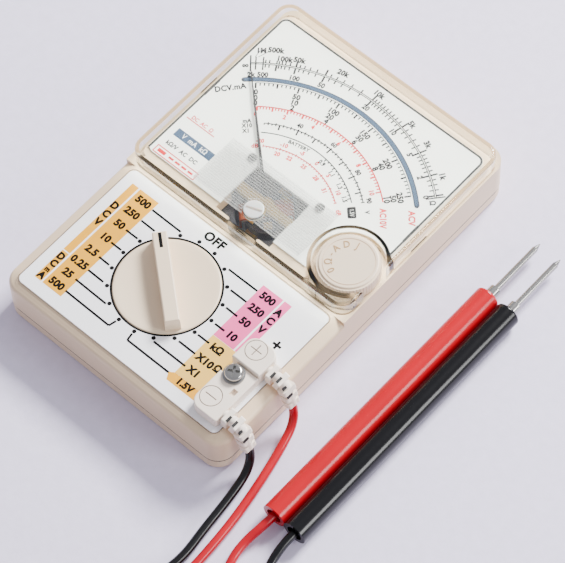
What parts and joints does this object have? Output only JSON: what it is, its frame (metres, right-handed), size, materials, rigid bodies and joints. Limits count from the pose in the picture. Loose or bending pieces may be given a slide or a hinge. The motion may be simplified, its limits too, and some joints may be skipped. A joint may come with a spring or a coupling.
{
  "type": "analog multimeter",
  "caption": "Pocket pointer-type multimeter with a rotary range selector, clear dial cover, ohm-adjust wheel and captive red and black test leads with probes.",
  "frame": {"origin": "centre of the case's underside, on the surface it rests on", "axes": "+X to the meter's right as it is read, +Y towards the scale end, +Z out of the face"},
  "size_m": [0.1669, 0.2139, 0.0238],
  "materials": {
    "case_plastic": "fine satin, warm cream",
    "clear_plastic": "clear moulded cover",
    "lens_plastic": "clear, finely ribbed, slightly yellowed",
    "dial_enamel": "satin white enamel",
    "label_enamel": "satin white enamel, printed",
    "knob_plastic": "satin off-white",
    "white_plastic": "satin white",
    "plug_plastic": "satin off-white",
    "plug_rubber": "matte off-white flexible vinyl",
    "red_pvc": "glossy red vinyl",
    "black_pvc": "glossy black vinyl",
    "red_plastic": "glossy red",
    "black_plastic": "satin black",
    "nickel": "nickel plate",
    "steel": "zinc plate",
    "brass": "satin",
    "magnet_steel": "dark",
    "aluminium": "satin",
    "copper_wire": "lacquered copper",
    "pointer_paint": "matte black",
    "clear_screw": "translucent off-white plastic",
    "board_laminate": "paper laminate",
    "resistor_lacquer": "lacquer",
    "diode_glass": "glass bead",
    "capacitor_resin": "dipped resin",
    "fuse_glass": "clear",
    "cell_jacket": "printed jacket"
  },
  "bodies": {
    "case": {"front_case": "case_plastic", "rear_case": "case_plastic", "case_screws": "steel", "meter_cover": "clear_plastic", "ribbed_lens": "lens_plastic", "dial_plate": "dial_enamel", "dial_screws": "nickel", "panel_plate": "label_enamel", "circuit_board": "board_laminate", "switch_contacts": "brass", "board_screws": "steel", "detent_ring": "black_plastic", "resistors": "resistor_lacquer", "diodes": "diode_glass", "capacitor": "capacitor_resin", "fuse": "fuse_glass", "fuse_clips": "brass", "battery_holder": "black_plastic", "battery_cells": "cell_jacket", "battery_contacts": "nickel", "movement_frame": "black_plastic", "magnet_yoke": "magnet_steel", "magnet_core": "magnet_steel", "core_supports": "brass", "movement_bridge": "brass", "movement_screws": "steel", "jewel_screws": "brass", "potentiometer": "black_plastic", "terminal_sockets": "nickel", "plug_pins": "nickel", "plug_body_negative": "plug_plastic", "plug_body_positive": "plug_plastic", "terminal_washer": "steel", "terminal_screw": "nickel", "cord_guard_red": "plug_rubber", "cord_guard_black": "plug_rubber", "lead_red": "red_pvc", "lead_red_end": "red_pvc", "lead_coil_red": "red_pvc", "lead_black": "black_pvc", "lead_black_end": "black_pvc", "lead_coil_black": "black_pvc", "probe_barrel_red": "red_plastic", "probe_barrel_black": "black_plastic", "probe_tips": "nickel"},
    "selector": {"selector_knob": "knob_plastic", "selector_rotor": "black_plastic", "rotor_screw": "steel", "contact_wipers": "brass", "detent_balls": "steel", "detent_springs": "steel"},
    "moving_coil": {"coil_former": "aluminium", "coil_winding": "copper_wire", "pivot_staffs": "steel", "pointer": "pointer_paint", "pointer_weights": "brass", "hairsprings": "brass"},
    "zero_lever": {"zero_lever": "brass"},
    "zero_screw": {"zero_adjust_screw": "clear_screw"},
    "ohm_wheel": {"ohm_adjust_wheel": "white_plastic"}
  },
  "joints": [
    {"name": "selector_turn", "type": "hinge", "parent": "case", "child": "selector", "pos_m": [-0.00415, -0.0351, 0.015], "axis": [0, 0, 1], "continuous": true},
    {"name": "pointer_swing", "type": "hinge", "parent": "case", "child": "moving_coil", "pos_m": [0.0003, 0.004, 0.0104], "axis": [0, 0, -1], "range_deg": [-2, 97], "stiffness_Nm_per_rad": 0.00005},
    {"name": "zero_lever_turn", "type": "hinge", "parent": "case", "child": "zero_lever", "pos_m": [0.0003, 0.004, 0.0185], "axis": [0, 0, 1], "range_deg": [-6, 6]},
    {"name": "zero_screw_turn", "type": "hinge", "parent": "case", "child": "zero_screw", "pos_m": [0.0003, -0.0012, 0.0215], "axis": [0, 0, 1], "range_deg": [-40, 40]},
    {"name": "ohm_wheel_turn", "type": "hinge", "parent": "case", "child": "ohm_wheel", "pos_m": [0.0333, 0.0041, 0.017], "axis": [0, 0, 1], "range_deg": [-135, 135]}
  ],
  "couplings": [
    {"joint": "zero_lever_turn", "follows": "zero_screw_turn", "ratio": 0.133}
  ]
}
